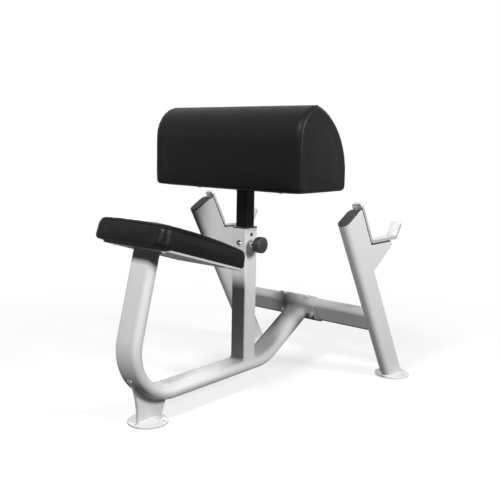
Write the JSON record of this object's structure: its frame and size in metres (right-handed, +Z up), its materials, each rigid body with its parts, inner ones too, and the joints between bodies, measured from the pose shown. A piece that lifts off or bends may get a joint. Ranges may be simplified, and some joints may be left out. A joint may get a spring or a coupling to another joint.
{
  "type": "preacher curl bench",
  "caption": "Preacher curl bench: bent flat-oval tube frame with a tilted padded seat, a thick sloping arm pad on a pin-locked sliding post and a leaning rack with bar hooks.",
  "frame": {"origin": "on the floor, on the axis of the pad's sliding post, which is also the middle of the footprint", "axes": "+X from the seat towards the rack, +Y to the sitter's left, +Z up"},
  "size_m": [1.0705, 0.785, 0.9586],
  "materials": {
    "frame_paint": "satin silver-grey powder coat",
    "black_paint": "satin black paint",
    "hook_steel": "pale zinc-plated steel, softly brushed",
    "zinc_steel": "bright zinc plating",
    "black_vinyl": "black leather-grain vinyl over foam, satin",
    "board": "raw plywood, hidden in the pads",
    "black_plastic": "moulded black plastic, fine matt texture",
    "black_rubber": "matt black rubber strip"
  },
  "bodies": {
    "frame": {"main_rail": "frame_paint", "seat_foot_gusset": "frame_paint", "seat_foot_plate": "frame_paint", "seat_plate": "frame_paint", "seat_board": "board", "seat_cushion": "black_vinyl", "seat_bolts": "zinc_steel", "post_sleeve": "frame_paint", "sleeve_bush": "black_plastic", "bush_button": "zinc_steel", "pull_pin_barrel": "zinc_steel", "saddle_bracket": "frame_paint", "saddle_bolts": "zinc_steel", "cross_tube": "frame_paint", "left_upright": "frame_paint", "left_upright_cap": "black_plastic", "left_foot_plate": "frame_paint", "left_bar_hook": "hook_steel", "left_hook_liner": "black_rubber", "left_hook_plate_outer": "frame_paint", "left_hook_plate_inner": "frame_paint", "right_upright": "frame_paint", "right_upright_cap": "black_plastic", "right_foot_plate": "frame_paint", "right_bar_hook": "hook_steel", "right_hook_liner": "black_rubber", "right_hook_plate_outer": "frame_paint", "right_hook_plate_inner": "frame_paint"},
    "pad_carriage": {"pad_post": "black_paint", "pad_mount_plate": "black_paint", "pad_bolts": "zinc_steel", "pad_board": "board", "preacher_pad": "black_vinyl"},
    "pull_pin": {"pull_pin_plunger": "zinc_steel", "pull_pin_knob": "black_plastic"}
  },
  "joints": [
    {"name": "pad_height", "type": "slide", "parent": "frame", "child": "pad_carriage", "axis": [0, 0, 1], "range_m": [-0.03, 0.15]},
    {"name": "pull_pin_travel", "type": "slide", "parent": "frame", "child": "pull_pin", "axis": [0, -1, 0], "range_m": [0, 0.012], "stiffness_N_per_m": 1500, "springref_m": -0.012}
  ]
}
